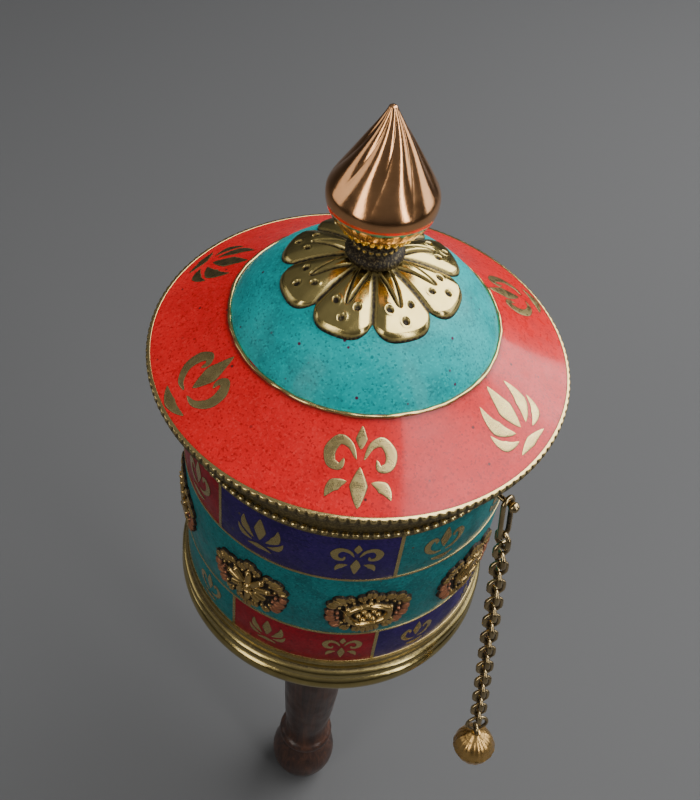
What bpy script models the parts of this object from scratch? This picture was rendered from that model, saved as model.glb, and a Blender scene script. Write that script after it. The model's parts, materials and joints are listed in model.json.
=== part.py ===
"""Hand-held prayer wheel: a drum that spins on a spindle fixed in a wooden handle, closed by a domed lid,
held down by a screwed finial, and kept turning by a weight on a chain.

Metres, +Z up along the spindle, origin at the flat butt of the handle.
"""
import math

import bmesh
import bpy
from mathutils import Matrix, Vector

MM = 0.001
OBJECT_NAME = "prayer_wheel"

# Driving heights, in millimetres above the handle's butt
BRIM_Z = 225.0           # plane of the lid's outer edge
DRUM_HEIGHT = 84.0       # from the brim's edge down to the drum's underside
FINIAL_HEIGHT = 59.9     # from the brim's edge up to the tip

# Driving radii, in millimetres
BRIM_R = 46.0
WALL_R = 38.9            # inlaid face of the drum
DOME_R = 28.2
MOULDING_R = 40.9
SPINDLE_R = 2.0
BORE_R = 2.4

GAP = 0.3                # between neighbours that touch on the real object
DOME_FOOT_Z = 10.2       # foot of the dome above the brim plane
DOME_TOP_Z = 25.8
ROSETTE_R = 18.9
PETALS = 8
PETAL_AZIMUTH = -62.0    # angle of the middle of one petal

# Bands down the drum, in millimetres from the brim plane
BAND_TOPS = {"upper_inlay_band": -16.2, "middle_inlay_band": -32.5, "lower_inlay_band": -56.3}
BAND_FEET = {"upper_inlay_band": -32.1, "middle_inlay_band": -55.9, "lower_inlay_band": -69.8}

# Raised emblems: azimuths in degrees, set by hand a little unevenly
EMBLEM_AZIMUTHS = (-162.0, -117.0, -75.0, -34.0, 12.0, 59.0, 105.0, 151.0)
EMBLEM_SIZE = (21.0, 19.0)
EMBLEM_Z = -45.9

# Chain
CHAIN_AZIMUTH = -38.5
CHAIN_LEAN = 8.5         # degrees outward from straight down
POST_Z = -11.5
HANGER_RADIUS = 44.4     # distance of the hanger's eye from the spindle
LINKS = 23
LINK_LENGTH = 5.5
LINK_WIDTH = 4.1
LINK_WIRE = 1.0
LINK_PLAY = 0.2
HANGER_LENGTH = 13.2
RING_SIZE = 6.4
RING_WIRE = 0.9
EYE_SIZE = 4.0
BALL_R = 5.8

STEPS = 36
SMALL_STEPS = 24


def clear_scene():
    for item in list(bpy.data.objects):
        bpy.data.objects.remove(item, do_unlink=True)


def make_collection(name):
    collection = bpy.data.collections.new(name)
    bpy.context.scene.collection.children.link(collection)
    return collection


def material(name, colour, roughness, metallic):
    finish = bpy.data.materials.new(name)
    finish.use_nodes = True
    shader = finish.node_tree.nodes["Principled BSDF"]
    shader.inputs["Base Color"].default_value = (*colour, 1.0)
    shader.inputs["Roughness"].default_value = roughness
    shader.inputs["Metallic"].default_value = metallic
    return finish


def place(name, mesh, finish, location=(0.0, 0.0, 0.0)):
    """Link a mesh as a named object with its finish."""
    item = bpy.data.objects.new(name, mesh)
    if not mesh.materials:
        mesh.materials.append(finish)
    item.location = location
    PART.objects.link(item)
    return item


def turned(name, outline, finish, steps=STEPS, closed=True, base=BRIM_Z):
    """Turn an outline of (radius, height) in millimetres round Z. It runs down the outer side."""
    mesh = bpy.data.meshes.new(name)
    points = [(r * MM, 0.0, (base + z) * MM) for r, z in outline]
    edges = [(i, i + 1) for i in range(len(points) - 1)]
    if closed:
        edges.append((len(points) - 1, 0))
    mesh.from_pydata(points, edges, [])
    item = place(name, mesh, finish)
    screw = item.modifiers.new("turn", 'SCREW')
    screw.axis = 'Z'
    screw.steps = steps
    screw.render_steps = steps
    screw.use_merge_vertices = True
    screw.merge_threshold = 0.00002
    screw.use_smooth_shade = True
    return item


def tube(name, inner, outer, top, foot, finish, steps=STEPS):
    return turned(name, [(outer, top), (outer, foot), (inner, foot), (inner, top)], finish, steps)


def arc(radius, height, size, start, end, count):
    """Points of an arc about (radius, height), its angles in degrees from +R towards +Z."""
    points = []
    for i in range(count):
        angle = math.radians(start + (end - start) * i / (count - 1))
        points.append((radius + size * math.cos(angle), height + size * math.sin(angle)))
    return points


def dome_sphere():
    """Radius and centre height of the sphere that the dome is a cap of."""
    rise = DOME_TOP_Z - DOME_FOOT_Z
    radius = (DOME_R ** 2 + rise ** 2) / (2.0 * rise)
    return radius, DOME_TOP_Z - radius


def cap_arc(offset, inner, outer, count):
    """Points on the dome's sphere, moved out by offset, from one plan radius to another."""
    radius, centre = dome_sphere()
    size = radius + offset
    points = []
    for i in range(count):
        r = inner + (outer - inner) * i / (count - 1)
        points.append((r, centre + math.sqrt(size * size - r * r)))
    return points


def brim_height(r):
    """Upper face of the brim: a cone with a slight hollow, level with the dome's foot at the inside."""
    share = (BRIM_R - r) / (BRIM_R - DOME_R)
    return DOME_FOOT_Z * (0.86 * share + 0.14 * share * share)


# Handle

def build_handle():
    wood = material("dark_wood", (0.05, 0.022, 0.014), 0.45, 0.0)
    brass = material("ferrule_brass", (0.50, 0.38, 0.16), 0.35, 1.0)
    steel = material("spindle_steel", (0.42, 0.41, 0.39), 0.35, 1.0)
    shell = material("washer_shell", (0.78, 0.74, 0.66), 0.4, 0.0)
    grip = [
        (7.2, 136.0), (7.2, 126.8), (8.6, 126.6), (9.6, 124.5), (9.6, 122.5), (8.0, 120.6), (7.4, 118.6),
        (7.6, 112.0), (8.6, 98.0), (9.4, 80.0), (9.2, 60.0), (8.2, 42.0), (7.2, 31.0), (7.6, 28.6),
        (9.4, 27.0), (9.4, 24.6), (7.8, 22.8), (8.4, 20.4), (10.8, 15.0), (11.4, 9.6), (10.2, 4.2),
        (7.4, 0.0), (0.0, 0.0), (0.0, 18.0), (BORE_R, 18.0), (BORE_R, 136.0)]
    turned("handle_grip", grip, wood, SMALL_STEPS, base=0.0)
    ferrule = [(8.6, 136.4), (9.2, 135.6), (9.2, 128.0), (9.7, 127.4), (9.2, 126.9), (7.5, 126.9), (7.5, 136.4)]
    turned("handle_ferrule", ferrule, brass, SMALL_STEPS, base=0.0)
    rod = [
        (0.0, 269.5), (SPINDLE_R - 0.4, 269.5), (SPINDLE_R, 268.9), (SPINDLE_R, 18.9), (SPINDLE_R - 0.4, 18.3),
        (0.0, 18.3)]
    turned("spindle", rod, steel, 16, closed=False, base=0.0)
    washer = [(7.4, 140.2), (8.0, 139.6), (8.0, 137.3), (7.4, 136.7), (BORE_R, 136.7), (BORE_R, 140.2)]
    turned("bearing_washer", washer, shell, SMALL_STEPS, base=0.0)


# Finial

def build_finial():
    copper = material("polished_copper", (0.72, 0.36, 0.22), 0.2, 1.0)
    gold = material("gold_cup", (0.83, 0.55, 0.18), 0.25, 1.0)
    dark = material("blackened_brass", (0.09, 0.07, 0.05), 0.45, 1.0)
    bulb = [
        (0.0, FINIAL_HEIGHT), (1.0, 58.2), (2.6, 55.4), (5.0, 51.8), (7.6, 48.2), (9.7, 44.8), (10.8, 41.8),
        (10.9, 39.6), (10.4, 37.2), (9.4, 35.5), (8.2, 34.4), (BORE_R, 34.4), (BORE_R, 45.0), (0.0, 45.0)]
    turned("finial_bulb", bulb, copper, SMALL_STEPS, closed=False)
    cup = [(8.3, 34.1), (8.4, 33.4), (6.9, 31.9), (4.8, 31.2), (BORE_R, 31.2), (BORE_R, 34.1)]
    turned("finial_ribbed_cup", cup, gold, SMALL_STEPS)
    collar = [
        (4.6, 30.9), (4.9, 30.2), (4.3, 29.5), (4.6, 28.9), (6.0, 28.4), (6.0, 27.4), (BORE_R, 27.4),
        (BORE_R, 30.9)]
    turned("finial_collar", collar, dark, SMALL_STEPS)


# Lid

def build_lid():
    teal = material("teal_inlay", (0.010, 0.27, 0.28), 0.35, 0.0)
    coral = material("coral_inlay", (0.62, 0.030, 0.022), 0.25, 0.0)
    brass = material("lid_brass", (0.62, 0.48, 0.20), 0.25, 1.0)
    old_brass = material("rosette_brass", (0.47, 0.37, 0.18), 0.35, 1.0)
    dome = cap_arc(0.0, BORE_R, 28.0, 8) + list(reversed(cap_arc(-1.0, BORE_R, 27.2, 6)))
    turned("lid_dome", dome, teal)
    inner, outer = DOME_R + 0.3, BRIM_R - 1.3
    radii = [inner + (outer - inner) * i / 4 for i in range(5)]
    top = [(r, brim_height(r)) for r in radii]
    under = [(r, brim_height(r) - 1.1) for r in reversed(radii)]
    turned("lid_brim", top + under, coral)
    edge = [
        (BRIM_R - 0.9, 0.6), (BRIM_R - 0.2, 0.5), (BRIM_R, 0.2), (BRIM_R, -1.4), (BRIM_R - 0.3, -1.9),
        (BRIM_R - 0.9, -2.0)]
    turned("brim_edge_ring", edge, brass)
    wire = arc(DOME_R + 0.45, DOME_FOOT_Z + 0.85, 0.45, 90.0, -210.0, 6)
    turned("dome_edge_wire", wire, brass)
    tube("lid_skirt", 35.5, 36.7, 3.4, -10.0, brass)
    build_rosette(old_brass)


def petal_reach(angle):
    """Plan radius of the rosette's scalloped edge at an angle in radians."""
    phase = ((angle - math.radians(PETAL_AZIMUTH)) * PETALS / (2.0 * math.pi) + 0.5) % 1.0 - 0.5
    return ROSETTE_R - 3.2 * (2.0 * abs(phase)) ** 3


def build_rosette(finish):
    """A thin scalloped plate that follows the dome, with a hole for the spindle."""
    radius, centre = dome_sphere()
    size = radius + GAP + 0.8
    form = bmesh.new()
    columns = PETALS * 6
    rows = []
    for share in (0.0, 0.5, 1.0):
        row = []
        for i in range(columns):
            angle = math.radians(PETAL_AZIMUTH) + 2.0 * math.pi * i / columns
            r = BORE_R + 0.2 + (petal_reach(angle) - BORE_R - 0.2) * share
            height = BRIM_Z + centre + math.sqrt(size * size - r * r)
            row.append(form.verts.new((r * math.cos(angle) * MM, r * math.sin(angle) * MM, height * MM)))
        rows.append(row)
    for low, high in zip(rows, rows[1:]):
        for i in range(columns):
            j = (i + 1) % columns
            form.faces.new((low[i], high[i], high[j], low[j]))
    mesh = bpy.data.meshes.new("lotus_rosette")
    form.to_mesh(mesh)
    form.free()
    item = place("lotus_rosette", mesh, finish)
    shell = item.modifiers.new("thickness", 'SOLIDIFY')
    shell.thickness = 0.7 * MM
    shell.offset = -1.0


# Drum

def build_drum():
    copper = material("drum_copper", (0.45, 0.27, 0.16), 0.45, 1.0)
    brass = material("drum_brass", (0.50, 0.39, 0.18), 0.35, 1.0)
    teal = material("band_teal", (0.012, 0.25, 0.27), 0.4, 0.0)
    mixed = material("band_panels", (0.10, 0.045, 0.20), 0.4, 0.0)
    foot = -DRUM_HEIGHT
    inner_wall = WALL_R - 1.9
    skin = WALL_R - 0.6
    tube("drum_wall", inner_wall, WALL_R - 0.9, 2.2, foot + 1.5, copper)
    collar = [
        (WALL_R + 0.4, 1.4), (WALL_R + 0.4, -12.6), (WALL_R + 0.1, -12.8), (WALL_R + 0.1, -15.0),
        (WALL_R + 0.5, -15.2), (WALL_R + 0.5, -15.9), (skin, -15.9), (skin, 1.4)]
    turned("top_collar", collar, brass)
    beads = arc(WALL_R + 1.35, -13.9, 0.9, 90.0, -210.0, 6)
    turned("bead_ring", beads, brass)
    for name in BAND_TOPS:
        finish = teal if name == "middle_inlay_band" else mixed
        tube(name, skin, WALL_R, BAND_TOPS[name], BAND_FEET[name], finish)
    moulding = [
        (WALL_R + 0.6, -70.1), (WALL_R + 0.8, -71.0), (40.6, -71.8), (MOULDING_R, -73.2), (40.6, -74.6),
        (39.7, -75.4), (40.5, -76.2), (40.7, -77.2), (40.2, -78.2), (39.6, -78.8), (40.6, -79.8),
        (MOULDING_R, -81.4), (40.6, -83.0), (39.6, foot), (36.9, foot), (36.9, foot + 1.2), (skin, foot + 1.2),
        (skin, -70.1)]
    turned("bottom_moulding", moulding, brass)
    tube("bottom_plate", 5.3, 36.6, foot + 1.4, foot + 0.2, brass)
    bush = [(4.4, -76.0), (5.0, -76.6), (5.0, foot - 0.4), (BORE_R, foot - 0.4), (BORE_R, -76.0)]
    turned("bottom_bush", bush, brass, SMALL_STEPS)


def build_scroll():
    paper = material("scroll_paper", (0.72, 0.62, 0.43), 0.85, 0.0)
    bamboo = material("core_bamboo", (0.45, 0.33, 0.17), 0.6, 0.0)
    tube("scroll_core", 2.8, 4.6, -24.0, -75.4, bamboo, SMALL_STEPS)
    roll = [(30.0, -26.0), (30.0, -75.4), (5.4, -75.4), (5.4, -26.0)]
    turned("prayer_scroll", roll, paper, 32)


def build_emblem(name, azimuth, finish):
    """A low boss on the drum's face: an oval plate, thicker in its middle."""
    form = bmesh.new()
    sides = 12
    half_width, half_height = EMBLEM_SIZE[0] / 2.0, EMBLEM_SIZE[1] / 2.0
    back = WALL_R + GAP

    def point(share, angle, r):
        turn = math.radians(azimuth) + share * half_width * math.cos(angle) / WALL_R
        height = BRIM_Z + EMBLEM_Z + share * half_height * math.sin(angle)
        return form.verts.new((r * math.cos(turn) * MM, r * math.sin(turn) * MM, height * MM))

    def ring(share, r):
        return [point(share, 2.0 * math.pi * i / sides, r) for i in range(sides)]

    rings = [ring(0.5, back), ring(1.0, back), ring(0.97, back + 0.9), ring(0.5, back + 1.6)]
    under = point(0.0, 0.0, back)
    crown = point(0.0, 0.0, back + 1.7)
    for i in range(sides):
        j = (i + 1) % sides
        form.faces.new((under, rings[0][j], rings[0][i]))
        for low, high in zip(rings, rings[1:]):
            form.faces.new((low[i], low[j], high[j], high[i]))
        form.faces.new((crown, rings[3][i], rings[3][j]))
    mesh = bpy.data.meshes.new(name)
    form.to_mesh(mesh)
    form.free()
    place(name, mesh, finish)


def build_emblems():
    brass = material("emblem_brass", (0.42, 0.31, 0.14), 0.35, 1.0)
    for number, azimuth in enumerate(EMBLEM_AZIMUTHS, 1):
        build_emblem("emblem_%d" % number, azimuth, brass)


# Chain

def chain_frame():
    """Chain directions: out from the drum, along the drum's edge, and down the chain."""
    turn = math.radians(CHAIN_AZIMUTH)
    lean = math.radians(CHAIN_LEAN)
    out = Vector((math.cos(turn), math.sin(turn), 0.0))
    along = Vector((-math.sin(turn), math.cos(turn), 0.0))
    down = out * math.sin(lean) - Vector((0.0, 0.0, 1.0)) * math.cos(lean)
    return out, along, down


def loop_mesh(name, length, width, wire, points, pivot, finish):
    """A closed wire loop in the XZ plane. Its origin is the hinge, pivot below the loop's top wire."""
    curve = bpy.data.curves.new(name, 'CURVE')
    curve.dimensions = '3D'
    curve.bevel_depth = wire / 2.0 * MM
    curve.bevel_resolution = 1
    spline = curve.splines.new('POLY')
    spline.points.add(points - 1)
    spline.use_cyclic_u = True
    radius = (width - wire) / 2.0
    straight = (length - wire) / 2.0 - radius
    centre = pivot - (length - wire) / 2.0
    for i in range(points):
        angle = 2.0 * math.pi * (i + 0.5) / points
        x = radius * math.cos(angle)
        z = radius * math.sin(angle) + math.copysign(straight, math.sin(angle)) + centre
        spline.points[i].co = (x * MM, 0.0, z * MM, 1.0)
    guide = bpy.data.objects.new(name + "_guide", curve)
    PART.objects.link(guide)
    mesh = bpy.data.meshes.new_from_object(guide.evaluated_get(bpy.context.evaluated_depsgraph_get()))
    bpy.data.objects.remove(guide, do_unlink=True)
    mesh.name = name
    mesh.materials.clear()
    mesh.materials.append(finish)
    mesh.shade_smooth()
    return mesh


def loop_pose(hinge, plane, down):
    """World matrix of a loop that hangs from a hinge point, with its width along plane."""
    up = -down
    side = up.cross(plane)
    turn = Matrix((plane, side, up)).transposed()
    return Matrix.Translation(hinge * MM) @ turn.to_4x4()


def build_chain():
    brass = material("chain_brass", (0.30, 0.22, 0.11), 0.4, 1.0)
    out, along, down = chain_frame()
    across = along.cross(down).normalized()
    post_point = out * HANGER_RADIUS + Vector((0.0, 0.0, BRIM_Z + POST_Z))
    build_post(out, brass)

    post_wire = 1.2
    drop = (post_wire + LINK_WIRE) / 2.0 + LINK_PLAY
    loop = loop_mesh("hanger_link", HANGER_LENGTH, LINK_WIDTH, LINK_WIRE, 12, drop, brass)
    hanger = place("hanger_link", loop, brass)
    hanger.matrix_world = loop_pose(post_point, along, down)
    hinge = post_point + down * (HANGER_LENGTH - LINK_WIRE - drop)

    pivot = LINK_WIRE + LINK_PLAY
    shared = loop_mesh("chain_link", LINK_LENGTH, LINK_WIDTH, LINK_WIRE, 12, pivot, brass)
    planes = (across, along)
    for number in range(1, LINKS + 1):
        plane = planes[(number - 1) % 2]
        link = place("chain_link_%02d" % number, shared, brass)
        link.matrix_world = loop_pose(hinge, plane, down)
        hinge = hinge + down * (LINK_LENGTH - LINK_WIRE - pivot)

    ring_pivot = (LINK_WIRE + RING_WIRE) / 2.0 + LINK_PLAY
    loop = loop_mesh("end_ring", RING_SIZE, RING_SIZE, RING_WIRE, 16, ring_pivot, brass)
    ring = place("end_ring", loop, brass)
    ring.matrix_world = loop_pose(hinge, planes[LINKS % 2], down)
    hinge = hinge + down * (RING_SIZE - RING_WIRE - ring_pivot)

    eye_pivot = RING_WIRE + LINK_PLAY
    loop = loop_mesh("weight_eye", EYE_SIZE, EYE_SIZE, RING_WIRE, 12, eye_pivot, brass)
    eye = place("weight_eye", loop, brass)
    eye.matrix_world = loop_pose(hinge, planes[(LINKS + 1) % 2], down)
    build_ball(hinge, down, eye_pivot, brass)


def build_post(out, finish):
    """The rod and ball that stick out of the drum's collar and carry the chain."""
    outline = [
        (0.0, 47.2), (0.9, 46.9), (1.3, 46.0), (0.9, 45.1), (0.6, 44.9), (0.6, 41.2), (1.6, 41.0),
        (1.6, WALL_R + 0.9), (0.0, WALL_R + 0.9)]
    post = turned("chain_post", outline, finish, 12, closed=False, base=0.0)
    rotation = Vector((0.0, 0.0, 1.0)).rotation_difference(out).to_matrix().to_4x4()
    post.matrix_world = Matrix.Translation((0.0, 0.0, (BRIM_Z + POST_Z) * MM)) @ rotation


def build_ball(hinge, down, eye_pivot, finish):
    """The weight: a turned ball just below its eye. Its origin is the hinge."""
    top = eye_pivot - EYE_SIZE + RING_WIRE / 2.0 - GAP
    outline = [(0.0, top), (1.7, top - 0.2), (1.9, top - 1.0)]
    outline += arc(0.0, top - 0.6 - BALL_R, BALL_R, 66.0, -66.0, 8)
    outline += [(1.2, top - 0.9 - 2.0 * BALL_R), (0.0, top - 1.6 - 2.0 * BALL_R)]
    ball = turned("weight_ball", outline, finish, 20, closed=False, base=0.0)
    rotation = Vector((0.0, 0.0, -1.0)).rotation_difference(down).to_matrix().to_4x4()
    ball.matrix_world = Matrix.Translation(hinge * MM) @ rotation


clear_scene()
PART = make_collection(OBJECT_NAME)
build_handle()
build_finial()
build_lid()
build_drum()
build_scroll()
build_emblems()
build_chain()
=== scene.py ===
"""Looks of the hand-held prayer wheel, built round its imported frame. Metres, +Z up the spindle.

Lengths in this file are millimetres and heights are counted from the plane of the brim's edge, unless a name
says otherwise. Angles round the spindle are degrees from +X.
"""
import json
import math

import bmesh
import bpy
import numpy as np
from mathutils import Matrix, Vector


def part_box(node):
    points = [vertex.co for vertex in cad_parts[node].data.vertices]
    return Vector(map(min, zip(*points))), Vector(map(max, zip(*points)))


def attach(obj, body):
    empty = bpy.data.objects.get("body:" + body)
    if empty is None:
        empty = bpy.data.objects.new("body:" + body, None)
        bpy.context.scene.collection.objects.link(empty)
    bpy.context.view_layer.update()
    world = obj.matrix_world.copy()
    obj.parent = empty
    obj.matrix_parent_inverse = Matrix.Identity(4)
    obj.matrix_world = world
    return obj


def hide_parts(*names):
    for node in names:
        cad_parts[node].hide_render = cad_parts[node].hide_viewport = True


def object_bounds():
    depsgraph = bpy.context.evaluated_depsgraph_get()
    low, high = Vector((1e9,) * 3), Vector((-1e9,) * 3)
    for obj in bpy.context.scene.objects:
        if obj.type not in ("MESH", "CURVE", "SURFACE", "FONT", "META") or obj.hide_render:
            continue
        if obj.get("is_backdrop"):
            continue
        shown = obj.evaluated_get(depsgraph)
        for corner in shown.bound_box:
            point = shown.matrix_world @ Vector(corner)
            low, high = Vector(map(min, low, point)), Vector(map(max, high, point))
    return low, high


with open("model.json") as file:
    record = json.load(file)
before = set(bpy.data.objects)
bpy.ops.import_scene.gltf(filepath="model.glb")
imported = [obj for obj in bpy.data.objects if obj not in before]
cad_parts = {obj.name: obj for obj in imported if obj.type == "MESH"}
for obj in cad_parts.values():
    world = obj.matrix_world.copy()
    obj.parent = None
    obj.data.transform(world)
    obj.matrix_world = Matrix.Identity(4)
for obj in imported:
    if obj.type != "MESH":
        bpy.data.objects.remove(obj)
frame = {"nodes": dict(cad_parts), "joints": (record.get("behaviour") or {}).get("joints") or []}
cad_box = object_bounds()

MM = 0.001
EDGE_RISE = 0.6  # the edge ring's top above the brim plane
RIM_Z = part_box("brim_edge_ring")[1].z / MM - EDGE_RISE  # brim plane above the handle's butt


def span(node):
    """The lowest and highest height of a CAD node."""
    return tuple(corner.z / MM - RIM_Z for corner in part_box(node))


BRIM_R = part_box("brim_edge_ring")[1].x / MM
WALL_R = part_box("middle_inlay_band")[1].x / MM
DOME_TOP = span("lid_dome")[1] + 0.1
DOME_FOOT = 10.2
DOME_R = 28.2
TIP = span("finial_bulb")[1]
BAND = {name: span(name + "_inlay_band") for name in ("upper", "middle", "lower")}
FINE = 192  # columns of a large turned piece
SMALL = 96  # columns of a small one
SHEET = 1.0  # thickness of the dome's and brim's shells
BORE = 2.45  # radius of a finial piece's hole for the spindle


# ---------- mesh tools

def polar(radius, angle, height):
    """Points from radius, angle round the spindle and height, each a number or an array."""
    radius, angle, height = np.broadcast_arrays(radius, angle, height)
    return np.stack((radius * np.cos(angle), radius * np.sin(angle), height), -1)


def turned_points(radii, heights, angles):
    """Points (row, column, xyz) for radii and heights given per row, or per row and column."""
    radii, heights = (v if np.ndim(v) == 2 else np.reshape(v, (-1, 1)) for v in (radii, heights))
    return polar(radii, angles, heights)


def around(count):
    """Angles of count even steps round a full turn, from zero."""
    return np.arange(count) * 2.0 * math.pi / count


def grid_faces(rows, columns, wrap_rows, wrap_columns):
    """Four-sided faces between the points of a grid, which may wrap round either way."""
    i = np.arange(rows if wrap_rows else rows - 1)[:, None]
    j = np.arange(columns if wrap_columns else columns - 1)
    i2, j2 = (i + 1) % rows, (j + 1) % columns
    quads = np.stack([i * columns + j, i2 * columns + j, i2 * columns + j2, i * columns + j2], -1)
    return quads.reshape(-1, 4)


def tube_faces(rows, columns):
    """Faces of a grid whose rows wrap round, closed at its first and last column."""
    ends = [[i * columns for i in range(rows)], [(i + 1) * columns - 1 for i in reversed(range(rows))]]
    return grid_faces(rows, columns, True, False).tolist() + ends


def placed(name, data):
    """A new object in the scene."""
    item = bpy.data.objects.new(name, data)
    bpy.context.scene.collection.objects.link(item)
    return item


def solid(name, points, faces, finish, sharp=50.0, dirt=None):
    """A closed mesh from points in millimetres above the brim plane, its faces turned outward."""
    points = np.asarray(points, float).reshape(-1, 3) + (0.0, 0.0, RIM_Z)
    mesh = bpy.data.meshes.new(name)
    mesh.from_pydata((points * MM).tolist(), [], [list(face) for face in faces])
    if dirt is not None:
        layer = mesh.attributes.new("dirt", 'FLOAT', 'POINT')
        layer.data.foreach_set("value", np.asarray(dirt, np.float32).ravel())
    form = bmesh.new()
    form.from_mesh(mesh)
    bmesh.ops.remove_doubles(form, verts=form.verts, dist=0.000002)
    bmesh.ops.recalc_face_normals(form, faces=form.faces)
    form.to_mesh(mesh)
    form.free()
    mesh.shade_smooth()
    mesh.set_sharp_from_angle(angle=math.radians(sharp))
    for material in finish if isinstance(finish, list) else [finish]:
        mesh.materials.append(material)
    return placed(name, mesh)


def loop_solid(name, points, finish, **options):
    """A ring: rows are a closed section, columns go all the way round."""
    rows, columns = points.shape[:2]
    return solid(name, points, grid_faces(rows, columns, True, True), finish, **options)


def rounded(outline, reach=0.35, count=4, closed=True):
    """An outline with each corner cut by a short curve that starts up to reach before it."""
    outline = np.asarray(outline, float)
    made = []
    for i, corner in enumerate(outline):
        if not closed and i in (0, len(outline) - 1):
            made.append(corner)
            continue
        before, after = outline[i - 1] - corner, outline[(i + 1) % len(outline)] - corner
        start = corner + before * min(0.48, reach / max(np.linalg.norm(before), 1e-6))
        end = corner + after * min(0.48, reach / max(np.linalg.norm(after), 1e-6))
        for t in np.linspace(0.0, 1.0, count):
            made.append(start * (1 - t) ** 2 + corner * 2 * t * (1 - t) + end * t * t)
    return np.array(made)


def resampled(outline, step):
    """A closed outline with points added so that none are further apart than step."""
    made = []
    for a, b in zip(outline, np.roll(outline, -1, 0)):
        count = max(1, int(math.ceil(np.linalg.norm(b - a) / step)))
        made.extend(a + (b - a) * i / count for i in range(count))
    return np.array(made)


def smooth_path(points, count):
    """A Catmull-Rom curve through the points, count samples to a span."""
    p = np.asarray(points, float)
    p = np.vstack((2 * p[0] - p[1], p, 2 * p[-1] - p[-2]))
    made = []
    for i in range(1, len(p) - 2):
        for t in np.arange(count) / count:
            a = 2 * p[i]
            b = p[i + 1] - p[i - 1]
            c = 2 * p[i - 1] - 5 * p[i] + 4 * p[i + 1] - p[i + 2]
            d = -p[i - 1] + 3 * p[i] - 3 * p[i + 1] + p[i + 2]
            made.append(0.5 * (a + b * t + c * t * t + d * t ** 3))
    made.append(p[-2])
    return np.array(made)


def outline_of(node):
    """The outline of a turned CAD node as (radius, height) in order, read from its section at angle 0."""
    mesh = frame["nodes"][node].data
    keys = {}
    for vertex in mesh.vertices:
        x, y, z = vertex.co
        if abs(y) < 2e-6 and x > -2e-6:
            keys[vertex.index] = (round(x / MM, 3), round(z / MM - RIM_Z, 3))
    joined = {}
    for edge in mesh.edges:
        a, b = (keys.get(v) for v in edge.vertices)
        if a and b and a != b:
            joined.setdefault(a, set()).add(b)
            joined.setdefault(b, set()).add(a)
    ends = [key for key, others in joined.items() if len(others) == 1]
    closed = not ends
    here = ends[0] if ends else max(joined)
    path, seen = [], set()
    while here is not None:
        path.append(here)
        seen.add(here)
        here = next((key for key in sorted(joined[here]) if key not in seen), None)
    return np.array(path), closed


def turned(name, outline, finish, closed=True, columns=FINE, **options):
    """A piece turned round the spindle from an outline of (radius, height)."""
    outline = np.asarray(outline, float)
    points = turned_points(outline[:, 0], outline[:, 1], around(columns))
    return solid(name, points, grid_faces(len(outline), columns, closed, True), finish, **options)


def sector(name, outline, start, end, finish, columns=24, **options):
    """A piece swept from a closed outline between two angles, closed at both ends."""
    angles = np.radians(np.linspace(start, end, columns))
    points = turned_points(outline[:, 0], outline[:, 1], angles)
    return solid(name, points, tube_faces(len(outline), columns), finish, **options)


def show(item, body, slot, *nodes):
    """Put a piece on its body and hide the CAD nodes that it stands for. slot is not used."""
    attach(item, body)
    if nodes:
        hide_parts(*nodes)
    return item


def second_finish_below(item, height_of):
    """Give the faces whose centre lies under height_of(radius) the piece's second finish."""
    for face in item.data.polygons:
        centre = face.center / MM
        if centre.z - RIM_Z < height_of(math.hypot(centre.x, centre.y)):
            face.material_index = 1


# ---------- materials

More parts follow.
